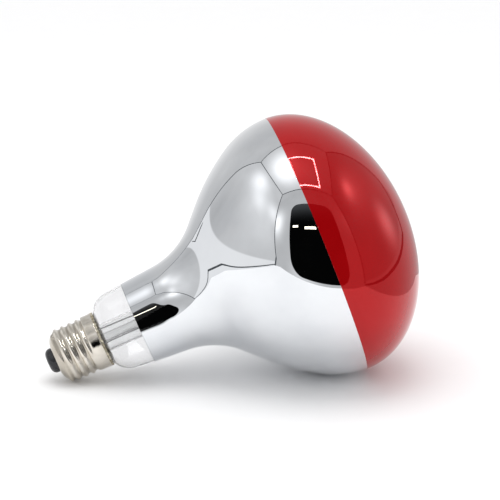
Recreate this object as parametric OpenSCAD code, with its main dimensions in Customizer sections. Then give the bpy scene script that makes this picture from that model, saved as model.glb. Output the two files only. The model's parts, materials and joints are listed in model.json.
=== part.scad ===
// Infrared reflector heat lamp with a red front, lying on its side.
// Every piece is drawn along the lamp's own axis, s, which starts at the tip of the centre contact,
// and is then laid down so that the screw cap and the shoulder of the bulb rest on z = 0.

/* [Bulb] */
// Largest diameter of the glass
bulb_d = 125.2; // [124:0.2:127]
// Whole length, from the tip of the centre contact to the front of the dome
lamp_length = 180.2; // [178:0.2:183]
// Depth of the front dome, ahead of the widest circle
dome_depth = 43.8; // [41:0.2:46]
// Diameter of the neck where it starts to run straight
neck_d = 38; // [37:0.5:39]
// Slope of the neck's wall, in degrees
neck_slope = 4.6; // [4:0.2:5]
// Radius of the rounding between the cap and the neck
neck_round = 11; // [10.8:0.1:11.2]
// Radius of the hollow between the neck and the flank
fillet_r = 36; // [34:1:38]
// Slope of the flank's wall, in degrees
flank_slope = 46; // [45:0.5:47]
// Radius of the flank's rounding
flank_r = 105; // [100:1:110]
// Slope at which the flank turns into the shoulder, in degrees
turn_slope = 30; // [29:0.5:31]
// Radius of the shoulder's rounding
shoulder_r = 42.7; // [42:0.1:43.4]
// Thickness of the glass
glass_t = 1; // [0.8:0.1:1.2]
// Thickness of the red coat on the front
coat_t = 0.15; // [0.1:0.05:0.2]
// Thickness of the mirror inside the glass
mirror_t = 0.15; // [0.1:0.05:0.2]
// Distance from the contact's tip to the mirror's edge in the neck
mirror_s = 45.7; // [44:0.1:48]

/* [Stem] */
// Outer diameter of the stem tube
stem_d = 13.6; // [13.2:0.2:14]
// Length of the pinched glass that seals the wires
press_l = 16; // [14:1:18]
// Thickness of the pinched glass
press_t = 5; // [4:0.5:6]
// Diameter of the exhaust tube
exhaust_d = 4.4; // [4:0.2:4.6]
// Distance between the two lead wires where they cross the press
lead_gap = 6.8; // [6.4:0.2:7]
// Diameter of the outer lead wires
outer_lead_d = 0.7; // [0.6:0.1:0.7]
// Diameter of the inner lead wires
inner_lead_d = 1.2; // [1:0.1:1.4]
// Turn of the stem about the lamp's axis, in degrees
stem_roll = -46; // [-50:1:-42]

/* [Filament] */
// Diameter of the filament's ring
ring_d = 28; // [26:1:30]
// Diameter of the tungsten coil
coil_d = 1.8; // [1.6:0.1:2]
// Angle that the coil fills around the ring, in degrees
coil_arc = 310; // [300:5:320]
// Distance from the contact's tip to the filament
filament_s = 110; // [106:1:114]

/* [Cap] */
// Diameter over the crests of the screw thread
thread_d = 26.2; // [26.1:0.05:26.3]
// Diameter at the bottom of the screw thread
root_d = 24.2; // [24.1:0.05:24.3]
// Diameter of the plain collar
collar_d = 26.4; // [26.4:0.05:26.6]
// Thickness of the cap's sheet metal
sheet_t = 0.35; // [0.3:0.05:0.35]
// Distance from the contact's tip to the cap's rim
rim_s = 27.1; // [26.9:0.1:27.3]
// Distance that the black insulator stands out of the shell
insulator_out = 3.7; // [3.4:0.1:4]

/* [Hidden] */
$fn = 96;
steps = 8;
bulb_r = bulb_d / 2;
neck_r = neck_d / 2;
neck_s = 37;
seal_s = 19;
tube_r = 10.8;
foot_turn = 65;
foot_r = 1.6;
foot_steps = 4;
equator_s = lamp_length - coat_t - dome_depth;

// Points of an outline: [along the axis, out from it, and the outward normal's two parts].
// A negative radius gives a hollow curve about a centre outside the glass.
function arc(c, r, from, to, n) = [
    for (i = [0:n])
        let (g = from + (to - from) * i / n)
            [c[0] - r * sin(g), c[1] + r * cos(g), -sin(g), cos(g)]
];
function without_first(list) = [for (i = [1:len(list) - 1]) list[i]];
function flipped(list) = [for (i = [len(list) - 1:-1:0]) list[i]];
function last(list) = list[len(list) - 1];
// Profile points for rotate_extrude, moved out from the outline by d
function shell(list, d) = [for (p = list) [p[1] + d * p[3], p[0] + d * p[2]]];

// The bulb's outline, worked out from the widest circle back to the neck
shoulder_c = [equator_s, bulb_r - shoulder_r];
shoulder = arc(shoulder_c, shoulder_r, turn_slope, 0, steps);
flank_c = [
    shoulder[0][0] + flank_r * sin(turn_slope),
    shoulder[0][1] - flank_r * cos(turn_slope)
];
flank = arc(flank_c, flank_r, flank_slope, turn_slope, 4);
fillet_ds = fillet_r * (sin(flank_slope) - sin(neck_slope));
fillet_dr = fillet_r * (cos(neck_slope) - cos(flank_slope));
over_cone = flank[0][1] - fillet_dr - neck_r - tan(neck_slope) * (flank[0][0] - fillet_ds - neck_s);
straight = over_cone / (sin(flank_slope) - tan(neck_slope) * cos(flank_slope));
fillet_c = [
    flank[0][0] - straight * cos(flank_slope) - fillet_r * sin(flank_slope),
    flank[0][1] - straight * sin(flank_slope) + fillet_r * cos(flank_slope)
];
fillet = arc(fillet_c, -fillet_r, neck_slope, flank_slope, steps);
neck_c = [neck_s + neck_round * sin(neck_slope), neck_r - neck_round * cos(neck_slope)];
neck_round_line = arc(neck_c, neck_round, foot_turn, neck_slope, steps);
// The hollow foot between the sealed tube and the neck's rounding
foot_rise = neck_round_line[0][1] - tube_r - foot_r * (1 - cos(foot_turn));
foot_c = [
    neck_round_line[0][0] - foot_rise / tan(foot_turn) - foot_r * sin(foot_turn),
    tube_r + foot_r
];
neck = concat(arc(foot_c, -foot_r, 0, foot_turn, foot_steps), neck_round_line);
mirror_edge = [
    mirror_s,
    neck_r + tan(neck_slope) * (mirror_s - neck_s),
    -sin(neck_slope),
    cos(neck_slope)
];
dome = [
    for (i = [0:2 * steps]) let (a = 90 * i / (2 * steps), n = norm([bulb_r * sin(a), dome_depth * cos(a)]))
        [equator_s + dome_depth * sin(a), bulb_r * cos(a), bulb_r * sin(a) / n, dome_depth * cos(a) / n]
];
mirror_zone = concat([mirror_edge], fillet, flank, without_first(shoulder));
whole = concat(neck, mirror_zone, without_first(dome));

// The neck's sealed end and the stem that is fused to it
stem_r = stem_d / 2;
flare_r = tube_r - glass_t - stem_r;
flare_c = [seal_s + glass_t + flare_r, stem_r + flare_r];
press_s = 50;
press_top = press_s + press_l;
taper_l = 7;
exhaust_r = exhaust_d / 2;
exhaust_wall = 0.7;
exhaust_tip_s = 10;
arbor_d = 3.6;
button_d = 6.4;
button_s = 96;
button_l = 4;
support_s = button_s + button_l / 2;

supports = 5;

// The screw cap, with seven turns of thread to the inch
pitch = 25.4 / 7;
lip_s = insulator_out + 0.3;
lip_r = 5.2;
end_r = 6.8;
end_c = [lip_s + end_r, 6];
collar_r = collar_d / 2;
root_r = root_d / 2;
depth = (thread_d - root_d) / 2;
collar_s = 22.4;
run_out = 1.2;
first_crest = 7.2;
around = 30;
wire_sides = 10;
cement_out = 0.1;
contact_r = 3;
contact_t = 0.3;
solder_h = 0.3;
insulator_round = 2.8;
insulator_r = contact_r + insulator_round + 0.1;
insulator_top = 8;
wire_hole_r = 0.6;
side_lead_r = tube_r + outer_lead_d / 2 + 0.1;
side_turn_s = 24.5;
rim_lead_r = collar_r - sheet_t - outer_lead_d / 2 - 0.05;
rim_turn_s = 26.4;
rim_lead_s = rim_s + 0.4;
support_d = 0.5;
support_foot_r = 1;

// 0 before a, 1 after b, and smooth between them
function ease(x, a, b) = let (t = min(1, max(0, (x - a) / (b - a)))) t * t * (3 - 2 * t);
// Radius of the shell's plain shape under the thread, past the rounded end
function plain_r(s) = root_r + (collar_r - 0.1 - root_r) * ease(s, collar_s - run_out, collar_s);
// Height of the thread's crest at station s and angle a, a right-hand screw
function crest(s, a) =
    depth * (0.5 + 0.5 * cos(360 * (s - first_crest) / pitch - a))
    * ease(s, 5, 8)
    * (1 - ease(s, collar_s - run_out, collar_s));
// One ring of a wire's corners at point i, cut square across the bend
function way(points, i) = (points[i + 1] - points[i]) / norm(points[i + 1] - points[i]);
function wire_ring(points, i, d) =
    let (
        into = way(points, max(i - 1, 0)),
        out = way(points, min(i, len(points) - 2)),
        bisector = (into + out) / norm(into + out),
        across = cross([0, 1, 0], into) / norm(cross([0, 1, 0], into)),
        beside = cross(into, across)
    ) [
        for (k = [0:wire_sides - 1])
            let (a = 360 * k / wire_sides, o = d / 2 * (cos(a) * across + sin(a) * beside))
                points[i] + o - into * (o * bisector) / (into * bisector)
    ];
// The rounded end's stations, then the threaded stretch's
end_turn = asin((root_r - end_c[1]) / end_r);
end_rings = [
    for (i = [0:4])
        let (a = end_turn * i / 5)
            [end_c[0] - end_r * cos(a), end_c[1] + end_r * sin(a), cos(a), sin(a)]
];
thread_start = end_c[0] - end_r * cos(end_turn);
thread_rings = [
    for (i = [0:24]) let (s = thread_start + (collar_s + 0.3 - thread_start) * i / 24) [s, plain_r(s), 0, 1]
];
cap_rings = concat([[lip_s, lip_r, 1, 0]], end_rings, thread_rings);
// One ring of the shell's wall, moved inwards by t
function cap_ring(ring, t) = [
    for (i = [0:around - 1]) let (a = 360 * i / around, r = ring[1] - t * ring[3] + crest(ring[0], a))
        [r * cos(a), r * sin(a), ring[0] + t * ring[2]]
];

// How the lamp lies: it touches the ground with the first full crest and with the shoulder
rest_s = 7.6;
rest_r = plain_r(rest_s) + crest(rest_s, 0);
rest_reach = norm([shoulder_c[0] - rest_s, shoulder_c[1] - rest_r]);
tilt = atan2(shoulder_c[1] - rest_r, shoulder_c[0] - rest_s) + asin(shoulder_r / rest_reach);
lift = shoulder_r - shoulder_c[0] * sin(tilt) + shoulder_c[1] * cos(tilt);
insulator_curve = [
    for (i = [0:4]) let (a = 90 * i / 4)
        [contact_r + 0.1 + insulator_round * sin(a), solder_h + insulator_round * (1 - cos(a))]
];
back_x = min([for (p = insulator_curve) p[1] * cos(tilt) - p[0] * sin(tilt)]);
front_x = max([for (p = shell(dome, coat_t)) p[1] * cos(tilt) + p[0] * sin(tilt)]);

glass_colour = [0.88, 0.92, 0.93, 0.45];
mirror_colour = [0.78, 0.8, 0.82];
red_colour = [0.72, 0.04, 0.06];
nickel_colour = [0.76, 0.73, 0.66];
steel_colour = [0.55, 0.55, 0.54];
black_colour = [0.04, 0.04, 0.05];
cement_colour = [0.48, 0.43, 0.33];
brass_colour = [0.75, 0.6, 0.3];
solder_colour = [0.62, 0.62, 0.6];
tungsten_colour = [0.3, 0.3, 0.32];

// Lays a piece drawn along the axis down on the ground
module lying() {
    translate([-(back_x + front_x) / 2, 0, lift])
        rotate([0, 90 - tilt, 0])
            children();
}

// Lays down a piece of the stem, whose wires lie in a turned plane
module on_stem() {
    lying() rotate(stem_roll) children();
}

module rod(from, to, d) {
    way = to - from;
    translate(from)
        rotate([0, acos(way[2] / norm(way)), atan2(way[1], way[0])])
            cylinder(h = norm(way), d = d, $fn = 48);
}

// A bent wire through a list of points, with mitred bends
module wire(points, d) {
    count = len(points);
    corners = [for (i = [0:count - 1]) for (p = wire_ring(points, i, d)) p];
    sides = [
        for (i = [0:count - 2]) for (k = [0:wire_sides - 1])
            let (
                a = i * wire_sides + k,
                b = i * wire_sides + (k + 1) % wire_sides
            ) [a, b, b + wire_sides, a + wire_sides]
    ];
    start = [for (k = [wire_sides - 1:-1:0]) k];
    end = [for (k = [0:wire_sides - 1]) (count - 1) * wire_sides + k];
    polyhedron(corners, concat([start], sides, [end]));
}

module glass_bulb() {
    outer = shell(whole, 0);
    inner = shell(whole, -glass_t);
    color(glass_colour) lying() rotate_extrude() polygon(concat(
        [[tube_r, seal_s]],
        outer,
        flipped(inner),
        [[tube_r - glass_t, seal_s]]
    ));
}

module mirror_coating() {
    color(mirror_colour) lying() rotate_extrude() polygon(concat(
        shell(mirror_zone, -glass_t),
        flipped(shell(mirror_zone, -glass_t - mirror_t))
    ));
}

module red_coating() {
    color(red_colour) lying() rotate_extrude()
        polygon(concat(shell(dome, coat_t), flipped(shell(dome, 0))));
}

// A tube with a trumpet mouth, whose edge is fused inside the end of the neck
module stem_flare() {
    vacuum_side = [
        for (i = [0:steps]) let (a = 90 * i / steps)
            [flare_c[1] - flare_r * cos(a), flare_c[0] - flare_r * sin(a)]
    ];
    air_side = [
        for (i = [0:steps]) let (a = 90 * i / steps, r = flare_r + glass_t)
            [flare_c[1] - r * cos(a), flare_c[0] - r * sin(a)]
    ];
    color(glass_colour) lying() rotate_extrude() polygon(concat(
        [[stem_r, press_s]],
        vacuum_side,
        flipped(air_side),
        [[stem_r - glass_t, press_s]]
    ));
}

module press_section() {
    square([stem_d - press_t, press_t], center = true);
    for (x = [-1, 1]) translate([x * (stem_d - press_t) / 2, 0]) circle(d = press_t, $fn = 32);
}

// The end of the tube, squeezed flat around the two wires
module stem_press() {
    slice = 0.5;
    color(glass_colour) on_stem() difference() {
        union() {
            hull() {
                translate([0, 0, press_s]) cylinder(h = slice, r = stem_r, $fn = 32);
                translate([0, 0, press_s + taper_l]) linear_extrude(slice) press_section();
            }
            translate([0, 0, press_s + taper_l]) linear_extrude(press_l - taper_l) press_section();
        }
        for (x = [-1, 1])
            translate([x * lead_gap / 2, 0, press_s - 1])
                cylinder(h = press_l + 2, d = outer_lead_d, $fn = 48);
    }
}

// The tube that the air was drawn out through, closed at its tip
module exhaust_tube() {
    bore_r = exhaust_r - exhaust_wall;
    color(glass_colour) lying() rotate_extrude($fn = 32) polygon([
        [0, exhaust_tip_s],
        [exhaust_r * 0.6, exhaust_tip_s + 0.8],
        [exhaust_r, exhaust_tip_s + 2.5],
        [exhaust_r, press_s],
        [bore_r, press_s],
        [bore_r, exhaust_tip_s + 3],
        [0, exhaust_tip_s + 2]
    ]);
}

module arbor_rod() {
    color(glass_colour) on_stem() translate([0, 0, press_top])
        cylinder(h = button_s - press_top, d = arbor_d, $fn = 32);
}

// The glass button that holds the feet of the support wires
module arbor_button() {
    edge = 0.8;
    color(glass_colour) on_stem() difference() {
        rotate_extrude($fn = 48) polygon([
            [0, button_s],
            [button_d / 2 - edge, button_s],
            [button_d / 2, button_s + edge],
            [button_d / 2, button_s + button_l - edge],
            [button_d / 2 - edge, button_s + button_l],
            [0, button_s + button_l]
        ]);
        for (i = [1:supports]) rotate(support_angle(i))
            rod([support_foot_r, 0, support_s], [button_d, 0, support_s], support_d);
    }
}

module seal_wire(side) {
    color(steel_colour) on_stem() translate([side * lead_gap / 2, 0, press_s])
        cylinder(h = press_l, d = outer_lead_d, $fn = 48);
}

// Runs from the press down the stem tube, round the end of the neck and up inside the cap's rim
module outer_lead_side() {
    color(steel_colour) on_stem() wire([
        [-lead_gap / 2, 0, press_s],
        [-4.3, -1, press_s - 6],
        [-4.8, -0.8, 30],
        [-5.6, -0.6, 22.6],
        [-8.5, 0, seal_s - 0.8],
        [-side_lead_r, 0, seal_s - 0.6],
        [-side_lead_r, 0, side_turn_s],
        [-rim_lead_r, 0, rim_turn_s],
        [-rim_lead_r, 0, rim_lead_s]
    ], outer_lead_d);
}

// The room that the side lead takes beside the neck, a little past each of its bends
module side_lead_room() {
    past = 0.3;
    outward = past * (rim_lead_r - side_lead_r) / (rim_turn_s - side_turn_s);
    rotate(stem_roll) {
        rod([-side_lead_r, 0, seal_s], [-side_lead_r, 0, side_turn_s + past], outer_lead_d);
        rod(
            [-side_lead_r + outward, 0, side_turn_s - past],
            [-rim_lead_r - outward, 0, rim_turn_s + past],
            outer_lead_d
        );
        rod([-rim_lead_r, 0, rim_turn_s - past], [-rim_lead_r, 0, rim_lead_s + 1], outer_lead_d);
    }
}

// Runs from the press down the stem tube, past the exhaust tube's tip and into the centre contact
module outer_lead_centre() {
    color(steel_colour) on_stem() wire([
        [lead_gap / 2, 0, press_s],
        [2.9, -0.8, press_s - 6],
        [3, -0.6, 30],
        [3, 0, 14],
        [0, 0, insulator_top + 0.6],
        [0, 0, solder_h + contact_t]
    ], outer_lead_d);
}

function coil_end(side) = 90 + side * (360 - coil_arc) / 2;

module inner_lead(side) {
    a = coil_end(-side);
    foot = [side * lead_gap / 2, 0, press_top];
    clamp_out = coil_d / 2 + 0.4;
    head = [ring_d / 2 * cos(a), ring_d / 2 * sin(a), filament_s - clamp_out];
    color(nickel_colour) on_stem() wire([foot, foot + [0, 0, 8], head - [0, 0, 3], head], inner_lead_d);
}

// The coil, drawn as the plain tube that its turns fill
module filament() {
    color(tungsten_colour) on_stem() translate([0, 0, filament_s]) rotate(coil_end(1))
        rotate_extrude(angle = coil_arc) translate([ring_d / 2, 0]) circle(d = coil_d, $fn = 24);
}

// A metal sleeve pinched round one end of the coil
module filament_clamp(side) {
    clamp_arc = 12;
    start = side > 0 ? coil_end(1) : coil_end(-1) - clamp_arc;
    color(nickel_colour) on_stem() translate([0, 0, filament_s]) rotate(start)
        rotate_extrude(angle = clamp_arc) translate([ring_d / 2, 0]) difference() {
            circle(d = coil_d + 0.8, $fn = 24);
            circle(d = coil_d, $fn = 24);
        }
}

function support_angle(i) = coil_end(1) + coil_arc * i / (supports + 1);

// A support wire, from inside the button out to its open eye round the coil
module filament_support(i) {
    eye_r = coil_d / 2 + support_d / 2 + 0.05;
    eye = [
        for (k = [0:10]) let (a = 200 + 29 * k)
            [ring_d / 2 + eye_r * cos(a), 0, filament_s + eye_r * sin(a)]
    ];
    color(steel_colour) on_stem() rotate(support_angle(i))
        wire(concat([[support_foot_r, 0, support_s], [button_d / 2 + 2, 0, support_s]], eye), support_d);
}

// Pressed sheet metal: a rounded end, the screw thread and a plain collar with a rolled rim
module cap_shell() {
    outer = [for (ring = cap_rings) cap_ring(ring, 0)];
    inner = [for (ring = cap_rings) cap_ring(ring, sheet_t)];
    rings = concat(outer, flipped(inner));
    count = len(rings);
    points = [for (ring = rings) for (p = ring) p];
    faces = [
        for (k = [0:count - 1]) for (i = [0:around - 1]) for (half = [0, 1])
            let (
                a = k * around + i,
                b = k * around + (i + 1) % around,
                c = ((k + 1) % count) * around + (i + 1) % around,
                d = ((k + 1) % count) * around + i
            ) half == 0 ? [a, c, b] : [a, d, c]
    ];
    color(nickel_colour) lying() {
        polyhedron(points, faces);
        rotate_extrude() {
            translate([collar_r - sheet_t, collar_s]) square([sheet_t, rim_s - collar_s]);
            translate([collar_r, rim_s - 0.25]) circle(r = 0.25, $fn = 24);
        }
    }
}

// Black glass, moulded through the hole in the shell's end
module cap_insulator() {
    inner_gap = 0.25;
    inside = [
        for (i = [0:5]) let (a = 45 * i / 5, r = end_r - sheet_t - inner_gap * ease(i, 0, 1))
            [end_c[1] + r * sin(a), end_c[0] - r * cos(a)]
    ];
    color(black_colour) lying() difference() {
        rotate_extrude() polygon(concat(
            [[0, solder_h]],
            insulator_curve,
            [[insulator_r, lip_s], [lip_r - 0.1, lip_s], [lip_r - 0.1, lip_s + sheet_t]],
            inside,
            [[last(inside)[0], insulator_top - 1], [7, insulator_top], [0, insulator_top]]
        ));
        translate([0, 0, -1]) cylinder(h = contact_t + solder_h + 1, r = contact_r);
        cylinder(h = insulator_top + 1, r = wire_hole_r, $fn = 32);
    }
}

module centre_contact() {
    color(brass_colour) lying() translate([0, 0, solder_h]) cylinder(h = contact_t, r = contact_r);
}

// A low drop of solder on the contact
module contact_solder() {
    color(solder_colour) lying() rotate_extrude($fn = 48)
        polygon([[0, 0], [0.7, 0.06], [1.2, 0.18], [1.4, solder_h], [0, solder_h]]);
}

// The drop that joins the side lead to the cap's rim
module side_solder() {
    drop_r = 1.1;
    color(solder_colour) lying() difference() {
        rotate(stem_roll) translate([-collar_r + 0.1, 0, rim_s]) intersection() {
            sphere(r = drop_r, $fn = 32);
            translate([-drop_r, -drop_r, 0]) cube([2 * drop_r, 2 * drop_r, drop_r]);
        }
        translate([0, 0, rim_s - 1]) cylinder(h = 4, r = rim_lead_r + outer_lead_d / 2);
    }
}

// Fills the gap between the collar and the neck's foot, and stands a little out of the rim
module cap_cement() {
    inner_r = collar_r - sheet_t;
    color(cement_colour) lying() difference() {
        rotate_extrude() polygon(concat(
            [
                [tube_r, collar_s + 0.2],
                [inner_r, collar_s + 0.2],
                [inner_r, rim_s],
                [inner_r + cement_out, rim_s + 0.4]
            ],
            [for (i = [foot_steps + 1:-1:0]) [neck[i][1], neck[i][0]]]
        ));
        side_lead_room();
    }
}

glass_bulb();
mirror_coating();
red_coating();
stem_flare();
stem_press();
exhaust_tube();
arbor_rod();
arbor_button();
seal_wire(-1);  // seal_wire_side
seal_wire(1);  // seal_wire_centre
outer_lead_side();
outer_lead_centre();
inner_lead(-1);  // inner_lead_side
inner_lead(1);  // inner_lead_centre
filament();
filament_clamp(-1);  // filament_clamp_side
filament_clamp(1);  // filament_clamp_centre
filament_support(1);  // filament_support_1
filament_support(2);  // filament_support_2
filament_support(3);  // filament_support_3
filament_support(4);  // filament_support_4
filament_support(5);  // filament_support_5
cap_shell();
cap_insulator();
centre_contact();
contact_solder();
side_solder();
cap_cement();
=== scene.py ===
import json
import math

import bpy
from mathutils import Matrix, Vector, noise


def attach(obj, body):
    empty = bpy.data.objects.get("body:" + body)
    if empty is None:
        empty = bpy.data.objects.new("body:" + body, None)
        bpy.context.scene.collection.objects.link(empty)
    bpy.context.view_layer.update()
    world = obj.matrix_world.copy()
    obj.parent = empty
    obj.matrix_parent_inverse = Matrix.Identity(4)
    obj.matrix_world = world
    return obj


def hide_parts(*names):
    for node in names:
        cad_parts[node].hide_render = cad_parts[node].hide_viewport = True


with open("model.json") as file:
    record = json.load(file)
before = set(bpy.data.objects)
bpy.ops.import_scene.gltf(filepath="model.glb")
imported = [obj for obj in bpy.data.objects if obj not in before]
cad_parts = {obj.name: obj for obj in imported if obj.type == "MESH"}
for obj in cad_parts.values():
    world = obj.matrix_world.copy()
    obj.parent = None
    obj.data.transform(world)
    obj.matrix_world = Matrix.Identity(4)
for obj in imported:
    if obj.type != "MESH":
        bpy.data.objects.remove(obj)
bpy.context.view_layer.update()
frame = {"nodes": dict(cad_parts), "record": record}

mm = 0.001
radians = math.radians


def ease(x, start, end):
    t = min(1.0, max(0.0, (x - start) / (end - start)))
    return t * t * (3 - 2 * t)


capMount = {"name": "cap_collar", "station": 24.5}  # the mount's place along the axis, mm

mount = next(m for m in frame["record"]["mounts"] if m["name"] == capMount["name"])
axis = -Vector(mount["axis"]).normalized()
tip = Vector(mount["pos_m"]) - axis * capMount["station"] * mm
tilt = math.atan2(axis.z, axis.x)
lay = Matrix.Translation(tip) @ Matrix.Rotation(math.pi / 2 - tilt, 4, "Y")
print("frame loaded, axis rises", round(math.degrees(tilt), 2), "degrees")


def addPiece(name, points, faces, zones=None, sharp=35):
    # points are millimetres in the lamp's own frame, zones are material numbers, one per face
    mesh = bpy.data.meshes.new(name)
    mesh.from_pydata([lay @ (Vector(p) * mm) for p in points], [], faces)
    mesh.validate()
    mesh.polygons.foreach_set("use_smooth", [True] * len(mesh.polygons))
    if zones:
        mesh.polygons.foreach_set("material_index", zones)
    mesh.set_sharp_from_angle(angle=radians(sharp))
    piece = bpy.data.objects.new(name, mesh)
    bpy.context.collection.objects.link(piece)
    return piece


def turned(name, outline, turns=128, closed=True, shift=None, zone=None, sharp=35):
    # outline runs (station, radius) with the solid on its right; a point on the axis becomes one pole
    points, rings = [], []
    for s, r in outline:
        if r < 1e-6:
            rings.append([len(points)] * turns)
            points.append((0, 0, s))
            continue
        rings.append(list(range(len(points), len(points) + turns)))
        for k in range(turns):
            a = 2 * math.pi * k / turns
            ds, dr = shift(s, r, a) if shift else (0, 0)
            points.append(((r + dr) * math.cos(a), (r + dr) * math.sin(a), s + ds))
    faces, zones = [], []
    last = len(rings) if closed else len(rings) - 1
    for i in range(last):
        near, far = rings[i], rings[(i + 1) % len(rings)]
        if near[0] == near[1] and far[0] == far[1]:
            continue  # a stretch of the axis itself
        for k in range(turns):
            n = (k + 1) % turns
            corners = [near[k], near[n], far[n], far[k]]
            faces.append(list(dict.fromkeys(corners)))
            zones.append(zone(i) if zone else 0)
    return addPiece(name, points, faces, zones, sharp)


def swept(name, route, widths, sides=16, sharp=50):
    # a round wire along a route; widths is one diameter, or one per point
    route = [Vector(p) for p in route]
    if not isinstance(widths, list):
        widths = [widths] * len(route)
    end = len(route) - 1
    ways = [(route[min(i + 1, end)] - route[max(i - 1, 0)]).normalized() for i in range(len(route))]
    across = ways[0].orthogonal().normalized()
    points, faces = [], []
    for i, (p, way) in enumerate(zip(route, ways)):
        across = (across - way * across.dot(way)).normalized()
        beside = way.cross(across)
        for k in range(sides):
            a = 2 * math.pi * k / sides
            points.append(p + (across * math.cos(a) + beside * math.sin(a)) * widths[i] / 2)
    for i in range(len(route) - 1):
        for k in range(sides):
            n = (k + 1) % sides
            faces.append([i * sides + k, i * sides + n, (i + 1) * sides + n, (i + 1) * sides + k])
    faces.append(list(range(sides))[::-1])
    faces.append([(len(route) - 1) * sides + k for k in range(sides)])
    return addPiece(name, points, faces, None, sharp)


def bent(points, bend=1.2, steps=5):
    # the same route with every corner rounded
    points = [Vector(p) for p in points]
    route = [points[0]]
    for before, corner, after in zip(points, points[1:], points[2:]):
        into = min(bend, (corner - before).length * 0.45)
        out = min(bend, (after - corner).length * 0.45)
        start = corner + (before - corner).normalized() * into
        end = corner + (after - corner).normalized() * out
        for i in range(steps + 1):
            t = i / steps
            route.append(start * (1 - t) ** 2 + corner * 2 * t * (1 - t) + end * t * t)
    return route + [points[-1]]


def onStem(points, roll):
    turn = Matrix.Rotation(radians(roll), 3, "Z")
    return [turn @ Vector(p) for p in points]


def arcPoints(centre, radius, start, end, steps):
    # along a curve of revolution: station, radius and the outward normal's two parts
    out = []
    for i in range(steps + 1):
        g = radians(start + (end - start) * i / steps)
        along, across = -math.sin(g), math.cos(g)
        out.append((centre[0] + radius * along, centre[1] + radius * across, along, across))
    return out


def offset(points, by):
    return [(s + by * ns, max(r + by * nr, 0.0)) for s, r, ns, nr in points]


class Wire:
    # one output socket of a material; arithmetic on it adds Math nodes
    def __init__(self, tree, socket):
        self.tree, self.socket = tree, socket

    def node(self, kind, settings=None, sockets=None, out=0):
        added = self.tree.nodes.new(kind)
        for key, value in (settings or {}).items():
            setattr(added, key, value)
        for key, value in (sockets or {}).items():
            join(self.tree, value, added.inputs[key])
        return Wire(self.tree, added.outputs[out])

    def math(self, operation, *others):
        values = {i: value for i, value in enumerate((self,) + others)}
        return self.node("ShaderNodeMath", {"operation": operation}, values)

    def flipped(self, operation, other):
        return self.node("ShaderNodeMath", {"operation": operation}, {0: other, 1: self})

    def __add__(self, other):
        return self.math("ADD", other)

    def __sub__(self, other):
        return self.math("SUBTRACT", other)

    def __mul__(self, other):
        return self.math("MULTIPLY", other)

    def __truediv__(self, other):
        return self.math("DIVIDE", other)

    def __rsub__(self, other):
        return self.flipped("SUBTRACT", other)

    def __rtruediv__(self, other):
        return self.flipped("DIVIDE", other)

    __radd__, __rmul__ = __add__, __mul__

    def between(self, start, end):
        # 0 before start, 1 after end, smooth between them
        settings = {"interpolation_type": "SMOOTHSTEP"}
        return self.node("ShaderNodeMapRange", settings, {"Value": self, "From Min": start, "From Max": end})

    def mixed(self, colourA, colourB):
        sockets = {"Factor": self, 6: colourA, 7: colourB}
        return self.node("ShaderNodeMix", {"data_type": "RGBA"}, sockets, 2)

    def away(self, point):
        # distance of this vector from a point
        sockets = {0: self, 1: point}
        return self.node("ShaderNodeVectorMath", {"operation": "DISTANCE"}, sockets, "Value")

    def axis(self, letter):
        return self.node("ShaderNodeSeparateXYZ", None, {0: self}, letter)

    def scaled(self, factors):
        return self.node("ShaderNodeVectorMath", {"operation": "MULTIPLY"}, {0: self, 1: factors})

    def tinting(self, colour):
        # a colour made this many times as bright
        return self.node("ShaderNodeVectorMath", {"operation": "SCALE"}, {0: colour[:3], "Scale": self})

    def noise(self, scale, detail=3.0, roughness=0.5):
        sockets = {"Vector": self, "Scale": scale, "Detail": detail, "Roughness": roughness}
        return self.node("ShaderNodeTexNoise", None, sockets)

    def bump(self, distance, strength=1.0):
        sockets = {"Height": self, "Distance": distance, "Strength": strength}
        return self.node("ShaderNodeBump", None, sockets)


def join(tree, value, socket):
    if isinstance(value, Wire):
        tree.links.new(value.socket, socket)
    elif value is not None:
        socket.default_value = value


def rgb(red, green, blue):
    return (red, green, blue, 1.0)


def newMaterial(name, kind="ShaderNodeBsdfPrincipled", laid=True):
    # an empty material with one shader; returns it, its coordinates and a way to set its sockets.
    # laid coordinates are the lamp's own: Z runs along the axis from the contact's tip
    material = bpy.data.materials.new(name)
    material.use_nodes = True
    tree = material.node_tree
    tree.nodes.clear()
    shader = tree.nodes.new(kind)
    output = tree.nodes.new("ShaderNodeOutputMaterial")
    tree.links.new(shader.outputs[0], output.inputs["Surface"])
    coords = tree.nodes.new("ShaderNodeTexCoord")

    def setSockets(sockets):
        for key, value in sockets.items():
            join(tree, value, shader.inputs[key])

    place = Wire(tree, coords.outputs["Object"])
    if laid:
        undo = {"Vector": place, "Location": tip, "Rotation": (0.0, math.pi / 2 - tilt, 0.0)}
        place = place.node("ShaderNodeMapping", {"vector_type": "TEXTURE"}, undo)
    return material, place, setSockets


def clearGlassMaterial(name, tint, look):
    # thin blown glass: light goes nearly straight through, and the coat gives the gloss
    material, place, setSockets = newMaterial(name)
    ripple = place.scaled((1, 1, 0.35)).noise(look["rippleScale"], 2.0)
    streak = place.scaled((1, 1, 0.2)).noise(look["rippleScale"] * 2, 3.0).between(0.35, 0.8)
    setSockets({
        "Base Color": streak.mixed(tint, look["shade"]),
        "Roughness": 0.0,
        "IOR": look["bend"],
        "Transmission Weight": 1.0,
        "Coat Weight": 1.0,
        "Coat Roughness": 0.0,
        "Normal": ripple.bump(look["rippleDepth"]),
    })
    return material


mirrorLook = {
    "silver": rgb(0.81, 0.83, 0.855),
    "shade": rgb(0.755, 0.775, 0.805),
    "edge": rgb(0.5, 0.52, 0.54),
    "edgeWidth": 0.5,  # how far the film thins towards its edge in the neck, mm
    "rippleDepth": 0.000015,
    "waist": -0.13, "waistLength": 0.0125, "waistSoft": 0.004,  # a shallow draw-in of the neck's glass
}


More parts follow.
